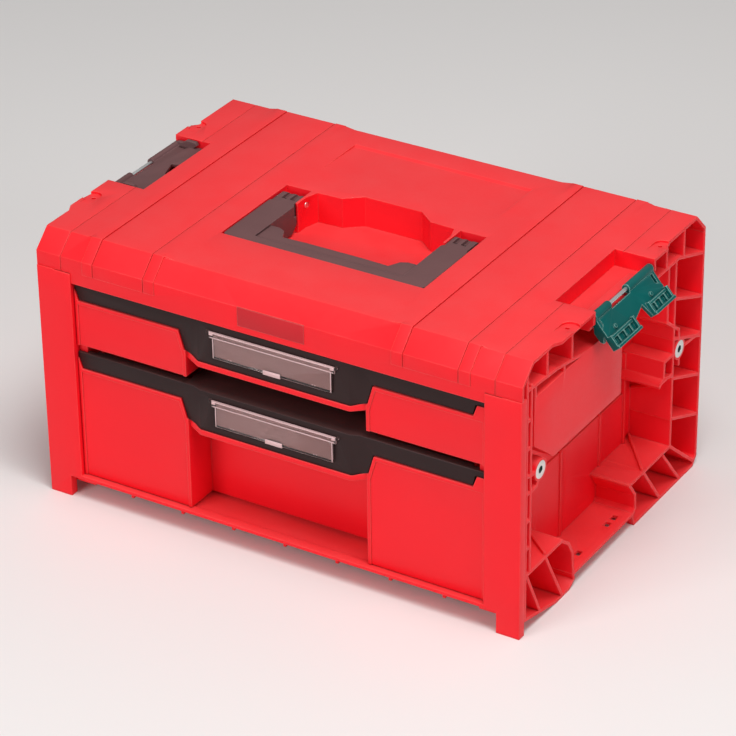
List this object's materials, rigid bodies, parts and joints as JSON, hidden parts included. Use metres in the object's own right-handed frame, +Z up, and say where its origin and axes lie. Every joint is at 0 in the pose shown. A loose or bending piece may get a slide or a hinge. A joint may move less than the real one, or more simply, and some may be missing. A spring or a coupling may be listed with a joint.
{
  "type": "tool box with drawers",
  "caption": "Portable moulded tool box with two full-width front drawers, a fold-flat carrying handle in the cover and swing-out side latches.",
  "frame": {"origin": "at floor level in the middle of the housing, on the underside of the skid of the base tray", "axes": "+X to the right along the front, +Y to the rear (the drawer fronts face -Y), +Z up"},
  "size_m": [0.4795, 0.31, 0.244],
  "materials": {
    "red_plastic": "fine-textured moulded plastic",
    "rail_plastic": "moulded plastic",
    "screw_steel": "zinc plated",
    "pin_steel": "ground",
    "plate_plastic": "smooth",
    "grip_plastic": "fine-textured moulded plastic",
    "card": "blank card",
    "clear_plastic": "clear moulded plastic",
    "handle_plastic": "fine-textured moulded plastic",
    "latch_plastic": "satin moulded plastic"
  },
  "bodies": {
    "housing": {"top_cover": "red_plastic", "left_side_shell": "red_plastic", "right_side_shell": "red_plastic", "front_frame": "red_plastic", "base_tray": "red_plastic", "back_panel": "red_plastic", "left_guide_rails": "rail_plastic", "right_guide_rails": "rail_plastic", "boss_screws": "screw_steel", "back_screws": "screw_steel", "base_screws": "screw_steel", "handle_pins": "pin_steel", "left_latch_pin": "pin_steel", "right_latch_pin": "pin_steel", "bare_plate": "plate_plastic"},
    "upper_drawer": {"upper_drawer_tub": "red_plastic", "upper_grip": "grip_plastic", "upper_grip_screws": "screw_steel", "upper_label_card": "card"},
    "upper_label_flap": {"upper_label_cover": "clear_plastic"},
    "lower_drawer": {"lower_drawer_tub": "red_plastic", "lower_grip": "grip_plastic", "lower_grip_screws": "screw_steel", "lower_label_card": "card"},
    "lower_label_flap": {"lower_label_cover": "clear_plastic"},
    "handle": {"handle_bail": "handle_plastic", "handle_grip_pad": "handle_plastic"},
    "left_latch_body": {"left_latch": "handle_plastic"},
    "right_latch_body": {"right_latch": "latch_plastic"}
  },
  "joints": [
    {"name": "upper_drawer_slide", "type": "slide", "parent": "housing", "child": "upper_drawer", "axis": [0, -1, 0], "range_m": [0, 0.24]},
    {"name": "lower_drawer_slide", "type": "slide", "parent": "housing", "child": "lower_drawer", "axis": [0, -1, 0], "range_m": [0, 0.24]},
    {"name": "upper_label_hinge", "type": "hinge", "parent": "upper_drawer", "child": "upper_label_flap", "pos_m": [0, -0.154, 0.1973], "axis": [-1, 0, 0], "range_deg": [0, 100]},
    {"name": "lower_label_hinge", "type": "hinge", "parent": "lower_drawer", "child": "lower_label_flap", "pos_m": [0, -0.154, 0.1339], "axis": [-1, 0, 0], "range_deg": [0, 100]},
    {"name": "handle_hinge", "type": "hinge", "parent": "housing", "child": "handle", "pos_m": [0, 0.009, 0.23555], "axis": [-1, 0, 0], "range_deg": [0, 95]},
    {"name": "left_latch_hinge", "type": "hinge", "parent": "housing", "child": "left_latch_body", "pos_m": [-0.2256, 0.0045, 0.235], "axis": [0, -1, 0], "range_deg": [0, 230]},
    {"name": "right_latch_hinge", "type": "hinge", "parent": "housing", "child": "right_latch_body", "pos_m": [0.2256, 0.0045, 0.235], "axis": [0, -1, 0], "range_deg": [0, 230]}
  ]
}
